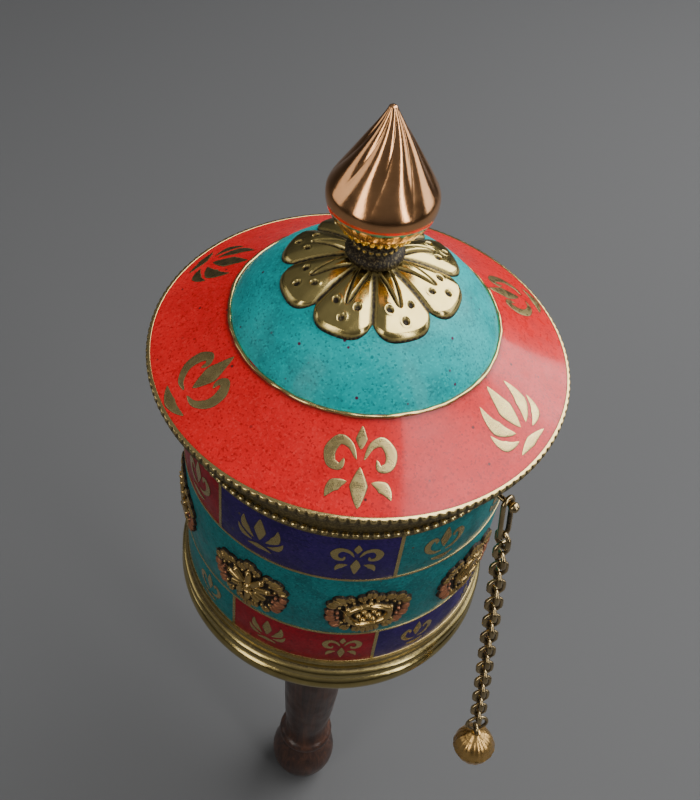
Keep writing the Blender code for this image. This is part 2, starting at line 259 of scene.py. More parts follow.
class Finish:
    """A Principled material that is built up node by node."""

    def __init__(self, name, base, roughness, metallic=0.0, **sockets):
        self.material = bpy.data.materials.new(name)
        self.material.use_nodes = True
        self.tree = self.material.node_tree
        self.shader = self.tree.nodes["Principled BSDF"]
        self.set("Base Color", (*base, 1.0))
        self.set("Roughness", roughness)
        self.set("Metallic", metallic)
        for socket, value in sockets.items():
            self.set(socket.replace("_", " "), value)
        self.place = self.tree.nodes.new('ShaderNodeTexCoord').outputs["Object"]

    def set(self, socket, value):
        self.shader.inputs[socket].default_value = value

    def link(self, output, socket):
        self.tree.links.new(output, self.shader.inputs[socket])

    def feed(self, sockets, values):
        """Link each value that is another node's output, and set each one that is a constant."""
        for socket, value in zip(sockets, values):
            if isinstance(value, bpy.types.NodeSocket):
                self.tree.links.new(value, socket)
            else:
                socket.default_value = value

    def node(self, kind, **inputs):
        node = self.tree.nodes.new(kind)
        self.feed([node.inputs[key.replace("_", " ")] for key in inputs], inputs.values())
        return node

    def noise(self, size, detail=3.0, roughness=0.5, distortion=0.0, stretch=None):
        """Noise whose features are about size millimetres across, on axes scaled by stretch."""
        vector = self.place
        if stretch:
            vector = self.node('ShaderNodeMapping', Vector=vector, Scale=stretch).outputs["Vector"]
        return self.node(
            'ShaderNodeTexNoise', Vector=vector, Scale=1.0 / (size * MM), Detail=detail,
            Roughness=roughness, Distortion=distortion).outputs["Fac"]

    def cells(self, size):
        """Grains about size millimetres across: two random greys and the distance from the middle."""
        node = self.node('ShaderNodeTexVoronoi', Vector=self.place, Scale=1.0 / (size * MM))
        greys = self.node('ShaderNodeSeparateColor', Color=node.outputs["Color"]).outputs
        return greys[0], greys[1], node.outputs["Distance"]

    def ramp(self, factor, *stops):
        """A ramp of (position, colour or grey) stops."""
        node = self.node('ShaderNodeValToRGB', Fac=factor)
        elements = node.color_ramp.elements
        while len(elements) < len(stops):
            elements.new(0.5)
        for element, (position, colour) in zip(elements, stops):
            element.position = position
            element.color = (*colour, 1.0) if isinstance(colour, tuple) else (colour, colour, colour, 1.0)
        return node.outputs["Color"]

    def mix(self, factor, first, second):
        """The first colour where factor is 0 and the second where it is 1."""
        node = self.node('ShaderNodeMix')
        node.data_type = 'RGBA'
        colours = [(*value, 1.0) if isinstance(value, tuple) else value for value in (first, second)]
        self.feed((node.inputs[0], node.inputs[6], node.inputs[7]), (factor, *colours))
        return node.outputs[2]

    def math(self, operation, first, second, clamp=False):
        node = self.node('ShaderNodeMath')
        node.operation = operation
        node.use_clamp = clamp
        self.feed(node.inputs, (first, second))
        return node.outputs[0]

    def attribute(self, name):
        node = self.node('ShaderNodeAttribute')
        node.attribute_name = name
        return node.outputs["Fac"]

    def bump(self, height, distance, **normal):
        """Bump of distance millimetres for a height from 0 to 1, on top of an earlier Normal if given."""
        node = self.node('ShaderNodeBump', Height=height, Distance=distance * MM, Strength=1.0, **normal)
        self.link(node.outputs["Normal"], "Normal")
        return node.outputs["Normal"]


def stone_paste(name, dark, plain, pale, speck, roughness, coat=0.5, patch=6.0, cloud=0.5):
    """Polished paste of crushed stone: grains, soft patches and a few stray chips of another stone."""
    finish = Finish(name, plain, roughness, Coat_Weight=coat, Coat_Roughness=0.10, Specular_IOR_Level=0.25)
    patches = finish.noise(patch, 4.0, 0.6, 0.4)
    colour = finish.mix(finish.ramp(patches, (0.34, 1.0 - cloud), (0.60, 1.0)), dark, plain)
    blush = finish.ramp(finish.noise(patch * 2.3, 3.0), (0.5, 0.0), (0.78, 0.6 * cloud))
    colour = finish.mix(blush, colour, pale)
    grains = finish.cells(0.38)[0]
    colour = finish.mix(finish.ramp(grains, (0.0, 0.75), (0.20, 0.10), (0.5, 0.0)), colour, dark)
    colour = finish.mix(finish.ramp(grains, (0.75, 0.0), (1.0, 0.5)), colour, pale)
    _, chips, distance = finish.cells(1.1)
    inside = finish.ramp(distance, (0.22, 1.0), (0.36, 0.0))
    chosen = finish.math('MULTIPLY', finish.ramp(chips, (0.982, 0.0), (0.988, 1.0)), inside)
    colour = finish.mix(chosen, colour, speck)
    colour = finish.mix(finish.math('MULTIPLY', finish.attribute("dirt"), 0.75), colour, (0.04, 0.012, 0.008))
    finish.link(colour, "Base Color")
    wear = finish.noise(3.0, 5.0, 0.65)
    finish.link(finish.ramp(wear, (0.3, roughness * 0.75), (0.75, roughness * 1.6)), "Roughness")
    normal = finish.bump(finish.noise(0.35, 3.0), 0.012)
    finish.bump(finish.noise(7.0, 2.0), 0.16, Normal=normal)
    return finish.material


def metal(name, base, shade, roughness, grime_and_shade=0.0, scratch=0.004, tarnish=0.5, dent=0.0):
    """Metal with tarnish clouds, fine scratches, and dark patina and painted shade where the mesh's darkening
    mask is high.
    """
    finish = Finish(name, base, roughness, 1.0)
    cloud = finish.ramp(finish.noise(5.0, 5.0, 0.62), (0.38, 0.0), (0.72, tarnish))
    colour = finish.mix(cloud, base, shade)
    rough = finish.ramp(finish.noise(1.6, 4.0, 0.6), (0.3, roughness * 0.8), (0.75, roughness * 1.5))
    if grime_and_shade:
        dirt = finish.math('MULTIPLY', finish.attribute("dirt"), finish.ramp(
            finish.noise(0.5, 4.0, 0.7), (0.25, 0.55), (0.6, 1.25)), clamp=True)
        dirt = finish.math('MULTIPLY', dirt, grime_and_shade, clamp=True)
        # Darkened towards this dark brown where the mask is high: patina and grime, and painted shade on the
        # pieces whose mask stands for shadow.
        colour = finish.mix(dirt, colour, (0.018, 0.012, 0.007))
        rough = finish.mix(dirt, rough, (0.6, 0.6, 0.6))
        finish.link(finish.math('SUBTRACT', 1.0, finish.math('MULTIPLY', dirt, 0.75)), "Metallic")
    finish.link(colour, "Base Color")
    finish.link(rough, "Roughness")
    lines = finish.noise(0.25, 2.0, stretch=(1.0, 1.0, 0.06))
    cross = finish.noise(0.25, 2.0, stretch=(0.12, 1.0, 1.0))
    normal = finish.bump(finish.math('ADD', lines, cross), scratch)
    if dent:
        finish.bump(finish.noise(4.0, 2.0), dent, Normal=normal)
    return finish.material


def wood(name):
    """Dark stained turned wood: long grain, pores and rubbed, shinier high spots."""
    finish = Finish(name, (0.05, 0.022, 0.014), 0.4, Coat_Weight=0.35, Coat_Roughness=0.25)
    long_grain = (1.0, 1.0, 0.07)
    rings = finish.noise(2.4, 4.0, 0.6, 1.2, long_grain)
    colour = finish.ramp(
        rings, (0.3, (0.016, 0.007, 0.005)), (0.52, (0.055, 0.022, 0.013)), (0.74, (0.105, 0.042, 0.022)))
    pores = finish.ramp(finish.noise(0.35, 2.0, stretch=(1.0, 1.0, 0.05)), (0.62, 0.0), (0.72, 1.0))
    colour = finish.mix(finish.math('MULTIPLY', pores, 0.7), colour, (0.006, 0.003, 0.002))
    finish.link(colour, "Base Color")
    finish.link(finish.ramp(finish.noise(6.0, 4.0), (0.3, 0.30), (0.7, 0.55)), "Roughness")
    grain = finish.noise(0.5, 3.0, 0.6, stretch=long_grain)
    finish.bump(finish.math('SUBTRACT', grain, finish.math('MULTIPLY', pores, 0.8)), 0.05)
    return finish.material


def paper(name):
    """Rough bark paper with fibres."""
    plain = (0.68, 0.56, 0.36)
    finish = Finish(name, plain, 0.85, Specular_IOR_Level=0.25)
    fibres = finish.noise(0.8, 4.0, 0.65, 1.5, (1.0, 1.0, 2.5))
    colour = finish.ramp(fibres, (0.3, (0.46, 0.34, 0.19)), (0.55, plain), (0.8, (0.80, 0.70, 0.50)))
    finish.link(colour, "Base Color")
    finish.bump(fibres, 0.08)
    return finish.material


def shell_white(name):
    """Cut and polished conch shell with growth bands."""
    finish = Finish(name, (0.80, 0.76, 0.68), 0.35, Coat_Weight=0.4, Coat_Roughness=0.2)
    bands = finish.noise(1.4, 3.0, 0.5, 1.0, (1.0, 1.0, 3.0))
    finish.link(finish.ramp(bands, (0.35, (0.62, 0.55, 0.45)), (0.6, (0.84, 0.80, 0.72))), "Base Color")
    finish.bump(bands, 0.03)
    return finish.material


# Stone pastes: dark, plain and pale grains, the stray chips' colour, then the surface
CORAL = stone_paste(
    "coral_paste", (0.42, 0.003, 0.005), (0.84, 0.009, 0.013), (0.90, 0.050, 0.045), (0.10, 0.02, 0.02), 0.26,
    coat=0.45, patch=5.0, cloud=0.30)
TEAL = stone_paste(
    "turquoise_paste", (0.001, 0.18, 0.20), (0.001, 0.46, 0.48), (0.015, 0.64, 0.64), (0.10, 0.006, 0.05),
    0.38, coat=0.08, patch=6.0, cloud=0.45)
PANEL_TEAL = stone_paste(
    "band_turquoise", (0.002, 0.07, 0.08), (0.003, 0.20, 0.21), (0.03, 0.30, 0.30), (0.10, 0.06, 0.02), 0.42,
    coat=0.15, patch=6.0, cloud=0.55)
PANEL_RED = stone_paste(
    "band_coral", (0.12, 0.002, 0.006), (0.30, 0.004, 0.014), (0.40, 0.02, 0.03), (0.05, 0.01, 0.02), 0.42,
    coat=0.15)
PANEL_BLUE = stone_paste(
    "band_lapis", (0.008, 0.003, 0.045), (0.026, 0.009, 0.125), (0.07, 0.03, 0.19), (0.10, 0.08, 0.03), 0.42,
    coat=0.15)

# Metals: clean colour, tarnished colour, roughness
COPPER = metal("copper_polished", (0.97, 0.50, 0.23), (0.68, 0.29, 0.12), 0.14, scratch=0.008, tarnish=0.35)
COPPER_DULL = metal("copper_dull", (0.50, 0.27, 0.17), (0.24, 0.12, 0.08), 0.42, scratch=0.012)
GOLD = metal("gold_cup", (0.98, 0.64, 0.14), (0.82, 0.42, 0.08), 0.16, grime_and_shade=0.5, scratch=0.002)
BLACK = metal("blackened_brass", (0.72, 0.58, 0.28), (0.36, 0.28, 0.13), 0.22, grime_and_shade=1.0, scratch=0.02)
ROSETTE = metal("brass_antique", (0.76, 0.60, 0.22), (0.46, 0.37, 0.12), 0.18, grime_and_shade=1.0, scratch=0.010)
BRASS = metal("brass_bright", (0.80, 0.62, 0.26), (0.52, 0.37, 0.13), 0.20, grime_and_shade=0.9)
INLAY = metal("brass_inlay", (0.72, 0.56, 0.24), (0.42, 0.31, 0.12), 0.25, grime_and_shade=0.9, scratch=0.012)
FOOT = metal("brass_foot", (0.58, 0.46, 0.18), (0.28, 0.21, 0.08), 0.15, grime_and_shade=0.9, scratch=0.008, dent=0.06)
OLD = metal("brass_old", (0.58, 0.45, 0.18), (0.22, 0.165, 0.07), 0.27, grime_and_shade=0.9, scratch=0.012, dent=0.10)
RELIEF = metal("brass_relief", (0.78, 0.53, 0.19), (0.34, 0.21, 0.075), 0.18, grime_and_shade=1.1)
RELIEF_COPPER = metal("copper_relief", (0.80, 0.34, 0.18), (0.46, 0.17, 0.09), 0.32, grime_and_shade=1.0)
CHAIN = metal("chain_brass", (0.58, 0.44, 0.23), (0.20, 0.14, 0.07), 0.19, grime_and_shade=1.0, scratch=0.008)
WEIGHT = metal("weight_brass", (0.80, 0.50, 0.18), (0.50, 0.28, 0.09), 0.26, scratch=0.012)
STEEL = metal("spindle_steel", (0.45, 0.44, 0.42), (0.25, 0.23, 0.21), 0.3, scratch=0.02)
WOOD = wood("handle_wood")
PAPER = paper("scroll_paper")
BAMBOO = Finish("core_bamboo", (0.45, 0.33, 0.17), 0.55).material
SHELL = shell_white("washer_shell")


# ---------- surfaces

def dome_height(r, offset=0.0):
    """Height of the dome's sphere, moved out by offset, over plan radius r."""
    rise = DOME_TOP - DOME_FOOT
    size = (DOME_R ** 2 + rise ** 2) / (2 * rise)
    return DOME_TOP - size + np.sqrt((size + offset) ** 2 - np.square(r))


def brim_height(r):
    """Height of the brim's upper face: a cone with a slight hollow."""
    share = (BRIM_R - r) / (BRIM_R - DOME_R)
    return DOME_FOOT * (0.86 * share + 0.14 * share * share)


def near(x, middle, width):
    """1 at middle, falling away to both sides within about width."""
    return np.exp(-((x - middle) / width) ** 2)


def smoothstep(low, high, x):
    """0 at low, 1 at high, with a smooth ramp between. low may be the greater."""
    t = np.clip((x - low) / (high - low), 0.0, 1.0)
    return t * t * (3 - 2 * t)


# ---------- finial

def build_bulb():
    """Eight broad flutes that twist together at the tip and fade out over the belly's underside."""
    flutes, drop = 8, 24.2
    profile = smooth_path([
        (0.05, TIP), (0.70, TIP - 0.25), (1.25, TIP - 1.3), (3.05, TIP - 4.4), (5.25, TIP - 8.1),
        (7.5, TIP - 11.9), (9.5, TIP - 15.2), (10.65, TIP - 17.4), (10.9, TIP - 19.0), (10.6, TIP - 20.9),
        (9.6, TIP - 23.0), (8.4, TIP - drop)], 8)
    angles = around(SMALL * 4)
    share = np.clip((profile[:, 1:] - TIP + drop) / drop, 0.0, 1.0)  # 1 at the tip
    twist = 0.85 * share ** 2.0
    lobe = np.abs(np.sin(flutes / 2 * (angles - twist) + 1.05)) ** 0.9
    depth = 0.095 * smoothstep(0.22, 0.75, share) * smoothstep(1.03, 0.88, share)
    radius = profile[:, :1] * (1 - depth * (1 - lobe))
    bore = np.array([(BORE, TIP - drop), (BORE, TIP - 15.0), (0.05, TIP - 15.0)])
    radii = np.vstack((radius, np.repeat(bore[:, :1], len(angles), 1)))
    heights = np.concatenate((profile[:, 1], bore[:, 1]))
    points = turned_points(radii, heights, angles)
    points[:len(profile), :, 0] -= 0.45 * share ** 3  # the tip leans a little
    bulb = loop_solid("finial_bulb_fluted", points, COPPER, sharp=70.0)
    show(bulb, "finial", "polished_copper", "finial_bulb")


def build_cup():
    """The gilt cup under the bulb: a short cone with gadroon ribs."""
    ribs = 32
    outline = resampled(rounded([
        (8.3, TIP - 24.25), (8.5, TIP - 24.5), (7.9, TIP - 25.8), (5.4, TIP - 26.5), (BORE, TIP - 26.5),
        (BORE, TIP - 24.3)], 0.3, 5), 0.16)
    angles = around(ribs * 16)
    r, z = outline[:, :1], outline[:, 1:]
    outside = smoothstep(4.6, 6.0, r) * smoothstep(TIP - 24.25, TIP - 24.5, z)
    rope = np.sqrt(0.5 + 0.5 * np.cos(ribs * angles + 0.6 * (z - TIP)))
    radius = r - outside * 0.55 * (1 - rope)
    height = z + outside * 0.25 * (1 - rope) * smoothstep(8.0, 7.4, r)
    dirt = outside * smoothstep(0.30, 0.0, rope)
    cup = loop_solid("finial_cup_ribbed", turned_points(radius, height, angles), GOLD, dirt=dirt, sharp=80.0)
    show(cup, "finial", "gold_cup", "finial_ribbed_cup")


def build_collar():
    """The blackened stepped collar: a knurled bead between two rings, on a wider foot."""
    foot = span("finial_collar")[0]
    outline = resampled(rounded([
        (4.3, foot + 5.9), (4.3, foot + 4.1), (4.2, foot + 3.8), (5.05, foot + 3.5), (5.05, foot + 2.5),
        (4.3, foot + 2.1), (5.5, foot + 1.2), (6.05, foot + 0.5), (5.9, foot - 0.6), (BORE, foot - 0.6),
        (BORE, foot + 5.9)], 0.3, 5), 0.18)
    knurls = 22
    angles = around(knurls * 14)
    r, z = outline[:, :1], outline[:, 1:]
    bead = near(z, foot + 3.0, 0.42) * (r > 4)
    knurl = np.abs(np.cos(knurls / 2 * angles))
    crack = np.sin(17 * angles) * 0.04 + np.sin(41 * angles + 1) * 0.04
    radius = r - bead * 0.42 * (1 - knurl) + (r > 5.6) * crack
    points = turned_points(radius, outline[:, 1], angles)
    dirt = 0.95 - 0.95 * smoothstep(0.3, 0.75, bead * knurl)
    collar = loop_solid("finial_collar_stepped", points, BLACK, dirt=dirt, sharp=60.0)
    show(collar, "finial", "blackened_brass", "finial_collar")


# ---------- lid

PETALS = 8
PETAL_TURN = -62.0  # angle of one petal's middle
PETAL_REACH = 18.9


def build_rosette():
    """A chased plate of eight petals lying on the dome, with valleys, short grooves and punched dots."""
    columns = PETALS * 72
    angles = around(columns)
    local = ((angles - math.radians(PETAL_TURN)) * PETALS / (2 * math.pi) + 0.5) % 1.0 - 0.5
    reach = PETAL_REACH - 3.4 * np.abs(2 * local) ** 3.8
    inner = 3.0
    share = np.linspace(0.0, 1.0, 76)[:, None]
    r = inner + (reach - inner) * share
    across = local * 2 * math.pi / PETALS * r  # distance from the petal's middle line
    half = 0.5 * 2 * math.pi / PETALS * r
    edge = half - np.abs(across)
    lift = 0.45 + 0.60 * smoothstep(0.0, 2.8, edge) * smoothstep(3.0, 9.0, r)
    valley = smoothstep(1.0, 0.05, edge) ** 1.5 * smoothstep(4.5, 6.0, r)
    tongue = 1.25 * np.sqrt(np.clip((13.4 - r) / 8.5, 0.0, 1.0)) * smoothstep(3.0, 6.0, r)
    rim = np.abs(across) - tongue
    cuts = near(rim, 0.0, 0.26) * smoothstep(13.7, 13.2, r) * smoothstep(4.5, 6.0, r)
    lift = lift + 0.22 * smoothstep(0.1, -0.5, rim) * smoothstep(13.4, 11.0, r)
    dots = np.zeros_like(r)
    rims = np.zeros_like(r)
    for line, place in ((-2.25, 13.6), (2.25, 13.6), (0.15, 16.2)):
        distance = np.hypot(across - line, r - place)
        dots = np.maximum(dots, smoothstep(0.78, 0.42, distance))
        rims = np.maximum(rims, near(distance, 0.95, 0.25))
    border = smoothstep(0.0, 0.9, reach - r)
    height = (lift - 0.5 * cuts - 0.55 * dots + 0.08 * rims) * (1 - 0.8 * valley)
    height = 0.10 + np.maximum(height, 0.12) * (0.35 + 0.65 * np.sqrt(border))
    top = turned_points(r, dome_height(r, height), angles)
    under = turned_points(r[::15][::-1], dome_height(r[::15][::-1], 0.02), angles)
    points = np.concatenate((top, under))
    dirt = np.clip(1.1 * cuts + 1.2 * dots + valley + 0.9 * smoothstep(0.35, 0.0, reach - r), 0, 1)
    dirt = np.concatenate((dirt, np.ones((len(under), columns))))
    rosette = loop_solid("rosette_chased", points, ROSETTE, dirt=dirt, sharp=60.0)
    show(rosette, "lid", "rosette_brass", "lotus_rosette")


def build_dome():
    """The dome: a paste-covered cap over a copper shell, open round the spindle."""
    hole, edge = 2.5, DOME_R - 0.1
    radii = np.linspace(hole, edge, 60)
    inner = radii[::-1] * 0.972
    top = np.stack((radii, dome_height(radii)), 1)
    under = np.stack((inner, dome_height(inner, -SHEET)), 1)
    dome = turned("dome_inlaid", np.concatenate((top, under)), [TEAL, COPPER_DULL])
    second_finish_below(dome, lambda r: dome_height(min(r, edge), -0.3))
    show(dome, "lid", "teal_inlay", "lid_dome")


def build_foot_wire():
    """The thin, slightly uneven wire soldered round the dome's foot."""
    angles = around(FINE * 2)
    wobble = 0.06 * np.sin(7 * angles) + 0.05 * np.sin(13 * angles + 1.0) + 0.04 * np.sin(29 * angles + 2.0)
    turn = around(10)[:, None]
    size = 0.42 + 0.05 * np.sin(19 * angles) + 0.04 * np.sin(43 * angles + 1)
    radius = DOME_R + 0.28 + wobble + size * np.cos(turn)
    height = brim_height(DOME_R + 0.3) + 0.18 + size * np.sin(turn)
    points = turned_points(radius, height, angles)
    dirt = smoothstep(0.2, -0.6, np.broadcast_to(np.sin(turn), radius.shape))
    wire = loop_solid("dome_foot_wire", points, BRASS, dirt=dirt)
    show(wire, "lid", "lid_brass", "dome_edge_wire")


def build_brim():
    """The conical brim: paste over a copper shell, grubby along both of its edges."""
    radii = np.linspace(DOME_R - 0.4, BRIM_R - 0.42, 60)
    top = np.stack((radii, brim_height(radii)), 1)
    under = np.stack((radii[::-1], brim_height(radii[::-1]) - SHEET), 1)
    smudge = 0.8 * near(radii, DOME_R + 0.4, 0.7) + 0.6 * near(radii, BRIM_R - 0.7, 0.35)
    dirt = np.repeat(np.concatenate((smudge, smudge * 0))[:, None], FINE, 1)
    brim = turned("brim_inlaid", np.concatenate((top, under)), [CORAL, COPPER_DULL], dirt=dirt)
    second_finish_below(brim, lambda r: brim_height(r) - 0.3)
    show(brim, "lid", "coral_inlay", "lid_brim")


def build_edge_ring():
    """The brim's brass edge: a bright flat lip over a milled side."""
    notches = 146
    angles = around(notches * 8)
    outline = rounded([
        (BRIM_R - 0.95, 0.55), (BRIM_R - 0.22, 0.36), (BRIM_R - 0.02, 0.12), (BRIM_R - 0.02, -0.9),
        (BRIM_R - 0.35, -1.3), (BRIM_R - 0.35, -1.9), (BRIM_R - 1.3, -1.9)], 0.2, 4)
    r, z = outline[:, :1], outline[:, 1:]
    side = smoothstep(BRIM_R - 0.45, BRIM_R - 0.1, r)
    notch = np.abs(np.cos(notches / 2 * angles))
    radius = r - side * 0.30 * (1 - notch ** 0.5)
    points = turned_points(radius, outline[:, 1], angles)
    # Grime in the milled notches. The side and underside below the lip are darkened, partly as oxide and
    # partly as painted shade.
    dirt = side * smoothstep(0.85, 0.40, notch) + 0.9 * smoothstep(0.10, -0.4, z)
    ring = loop_solid("brim_edge_milled", points, BRASS, dirt=np.clip(dirt, 0, 1), sharp=60.0)
    show(ring, "lid", "lid_brass", "brim_edge_ring")


# ---------- ornaments

def stroke(line, widest=0.15, blunt=0.6, place=0.5):
    """A centre line with its half widths, pointed at both ends and widest at place along it."""
    t = np.linspace(0.0, 1.0, len(line))
    swell = np.where(t < place, t / place, (1 - t) / (1 - place))
    return np.asarray(line), widest * np.clip(swell, 0.0, 1.0) ** blunt + 0.008


def leaf(x0, y0, x1, y1, widest, bow=0.0):
    """A leaf from one point to another, its middle pushed sideways by bow times its length."""
    t = np.linspace(0.0, 1.0, 18)
    across = np.array((-(y1 - y0), x1 - x0)) * bow
    line = np.outer(1 - t, (x0, y0)) + np.outer(t, (x1, y1)) + np.outer(np.sin(math.pi * t), across)
    return stroke(line, widest, 0.75, 0.45)


def pair(part):
    """A part and its mirror image."""
    line, widths = part
    return [part, (line * (-1.0, 1.0), widths)]


# Symmetrical leaf ornaments in units of half the ornament's height. Their parts don't touch.
ORNAMENTS = {
    "palmette": [
        leaf(0.0, -0.28, 0.0, 1.0, 0.25), leaf(-0.50, -0.84, 0.50, -0.84, 0.15, -0.12),
        *pair(stroke(smooth_path([
            (0.10, -0.50), (0.42, -0.46), (0.72, -0.16), (0.76, 0.22), (0.58, 0.46), (0.40, 0.34),
            (0.42, 0.14)], 5)))],
    "lotus": [
        leaf(0.0, -0.34, 0.0, 0.98, 0.27), leaf(-0.52, -0.86, 0.52, -0.86, 0.14, 0.08),
        *pair(leaf(0.26, -0.36, 0.74, 0.72, 0.20, -0.16)), *pair(leaf(0.34, -0.56, 0.98, 0.00, 0.14, -0.20))],
    "cloud": [
        leaf(0.0, 0.02, 0.0, -0.96, 0.20), leaf(0.0, 0.44, 0.0, 0.98, 0.16),
        *pair(stroke(smooth_path([
            (0.10, 0.20), (0.30, 0.52), (0.62, 0.62), (0.84, 0.36), (0.76, 0.06), (0.52, 0.00),
            (0.44, 0.20)], 5))),
        *pair(leaf(0.30, -0.34, 0.74, -0.76, 0.15, 0.18))],
}

# Section of a strip as (share of its half width, share of its rise)
HALF_SECTION = ((1.0, -0.2), (1.0, 0.5), (0.96, 0.7), (0.84, 0.95), (0.5, 1.0))
SECTION = (*((-across, lift) for across, lift in HALF_SECTION), (0.0, 1.03), *reversed(HALF_SECTION))
STRIP_RISE = 0.10


def ornament(name, design, size, place, finish, widen=1.0):
    """One ornament as flat brass strips laid into a surface. place(x, y, lift) gives points on it."""
    points, faces, dirt = [], [], []
    for line, widths in ORNAMENTS[design]:
        line = line * size * (widen, 1.0)
        along = np.gradient(line, axis=0)
        along /= np.linalg.norm(along, axis=1)[:, None] + 1e-9
        normal = np.stack((-along[:, 1], along[:, 0]), 1)
        rows = []
        for across, lift in SECTION:
            flat = line + normal * (widths * size * across)[:, None]
            rows.append(place(flat[:, 0], flat[:, 1], STRIP_RISE * lift))
        first = sum(len(p) for p in points)
        faces.extend([first + point for point in face] for face in tube_faces(len(rows), len(line)))
        points.append(np.concatenate(rows))
        dirt.append(np.repeat([1.0 if abs(across) > 0.9 else 0.0 for across, lift in SECTION], len(line)))
    return solid(name, np.concatenate(points), faces, finish, sharp=50.0, dirt=np.concatenate(dirt))


def on_brim(turn, middle):
    """Maps x (along the brim) and y (inwards) about a point on the brim to space."""
    def place(x, y, lift):
        r = middle - y * 0.87
        return polar(r, math.radians(turn) + x / middle, brim_height(r) + lift)
    return place


def on_wall(turn, middle):
    """Maps x (along the wall) and y (up) about a point on the drum's wall to space."""
    def place(x, y, lift):
        return polar(WALL_R + lift, math.radians(turn) + x / WALL_R, middle + y)
    return place


BRIM_ORNAMENT_TURNS = (-146.0, -85.5, -30.0, 29.5, 92.0, 155.0)


def build_brim_ornaments():
    designs = ("palmette", "cloud", "lotus") * 2
    for number, (turn, design) in enumerate(zip(BRIM_ORNAMENT_TURNS, designs), 1):
        item = ornament("brim_ornament_%d" % number, design, 8.1, on_brim(turn, 37.0), INLAY, 0.92)
        show(item, "lid", "lid_brass")


# ---------- drum

def build_top_collar():
    """The worn brass collar that the lid sits over, darkened all over with painted shade for the gap under
    the brim.
    """
    outline, _ = outline_of("top_collar")
    outline = rounded(outline, 0.25)
    # Painted shade: the whole collar is darkened to stand for the shadow under the brim.
    dirt = np.full((len(outline), FINE), 0.8)
    show(turned("drum_collar", outline, OLD, dirt=dirt), "drum", "drum_brass", "top_collar")


def build_beads():
    """A ring of small beads soldered under the brim."""
    beads = 118
    angles = around(beads * 12)
    turn = around(12)[:, None]
    size = 0.20 + 0.42 * np.abs(np.sin(beads / 2 * angles)) ** 0.7
    radius = WALL_R + 0.72 + size * np.cos(turn)
    height = -13.9 + size * np.sin(turn)
    dirt = np.broadcast_to(smoothstep(0.60, 0.46, size), radius.shape)
    ring = loop_solid("bead_row", turned_points(radius, height, angles), BRASS, dirt=dirt, sharp=70.0)
    show(ring, "drum", "drum_brass", "bead_ring")


def band_outline(foot, top, face):
    """The section of a band of inlay, from its face to just inside the wall."""
    return rounded([(face, top), (face, foot), (WALL_R - 0.55, foot), (WALL_R - 0.55, top)], 0.06, 3)


PANEL_COLOURS = {"red": PANEL_RED, "blue": PANEL_BLUE, "teal": PANEL_TEAL}


def band_edges(first, width):
    """Six panel edges: one panel of the given width after the first edge, the others even."""
    rest = (360.0 - width) / 5
    return [first, first + width] + [first + width + rest * (i + 1) for i in range(4)]


def build_panel_band(name, edges, colours):
    """A band of six coloured panels with brass dividers, and two ornaments on each panel."""
    foot, top = BAND[name]
    divider = 0.62  # half a divider's width in degrees
    designs = ("lotus", "cloud", "palmette")
    for number in range(6):
        start, end = edges[number], edges[(number + 1) % 6]
        end += 360.0 if end < start else 0.0
        panel = sector(
            "%s_panel_%d" % (name, number + 1), band_outline(foot, top, WALL_R), start + divider,
            end - divider, PANEL_COLOURS[colours[number % 3]], 36)
        show(panel, "drum", "band_panels", name + "_inlay_band")
        strip = sector(
            "%s_divider_%d" % (name, number + 1), band_outline(foot, top, WALL_R + 0.07), start - divider,
            start + divider, INLAY, 5)
        show(strip, "drum", "drum_brass")
        for half in (0, 1):
            count = 2 * number + half
            place = on_wall(start + (end - start) * (0.27 + 0.51 * half), (top + foot) / 2)
            size = (top - foot) * 0.36
            item = ornament("%s_ornament_%d" % (name, count + 1), designs[count % 3], size, place, INLAY)
            show(item, "drum", "drum_brass")


def build_middle_band():
    """The plain turquoise band behind the emblems."""
    foot, top = BAND["middle"]
    outline = band_outline(foot, top, WALL_R)
    show(turned("middle_field", outline, PANEL_TEAL), "drum", "band_teal", "middle_inlay_band")


def build_band_wires():
    """Flat brass wires between the bands and along their outer edges."""
    upper, middle, lower = (BAND[name] for name in ("upper", "middle", "lower"))
    lines = [(upper[1], -15.8), (middle[1], upper[0]), (lower[1], middle[0]), (-70.15, lower[0])]
    for number, (low, high) in enumerate(lines, 1):
        low, high = min(low, high) - 0.14, max(low, high) + 0.14
        face, back = WALL_R + 0.10, WALL_R - 0.5
        outline = rounded([(face, high), (face, low), (back, low), (back, high)], 0.08, 3)
        show(turned("band_wire_%d" % number, outline, INLAY), "drum", "drum_brass")


def build_moulding():
    """The drum's foot: a plain fillet, a narrow roll, a groove and a broad roll, all bright brass."""
    def roll(middle, half, reach, low, high):
        turn = np.radians(np.linspace(high, low, 17))
        return [(reach * math.cos(a) + 39.1, middle + half * math.sin(a)) for a in turn]

    outline = [(39.35, -70.25), (39.55, -70.6), (39.45, -71.4), (39.3, -72.6), (39.25, -73.6)]
    outline += roll(-75.3, 1.6, 1.55, -82, 82) + [(39.2, -77.2), (39.2, -77.6)]
    outline += roll(-80.2, 2.35, 1.75, -75, 80) + [(39.5, -82.8), (39.6, -83.6), (39.3, -84.0)]
    outline += [(36.95, -84.0), (36.95, -82.85), (38.35, -82.85), (38.35, -70.25)]
    z = np.array(outline)[:, 1]
    # Darker in the groove between the rolls, above the narrow roll, at the top edge and on the underside.
    dirt = near(z, -77.4, 0.35) + near(z, -73.6, 0.3)
    dirt = np.maximum(dirt, 0.8 * near(z, -70.4, 0.3)) + 0.8 * (z < -82.7)
    dirt = np.repeat(np.clip(dirt, 0, 1)[:, None], FINE * 2, 1)
    item = turned("drum_foot_moulding", outline, FOOT, columns=FINE * 2, sharp=60.0, dirt=dirt)
    show(item, "drum", "drum_brass", "bottom_moulding")


# ---------- emblems

def round_back(distance, width, height):
    """Height of a rounded ridge over the distance from its middle line."""
    return height * np.sqrt(np.clip(1 - (distance / width) ** 2, 0.0, 1.0))


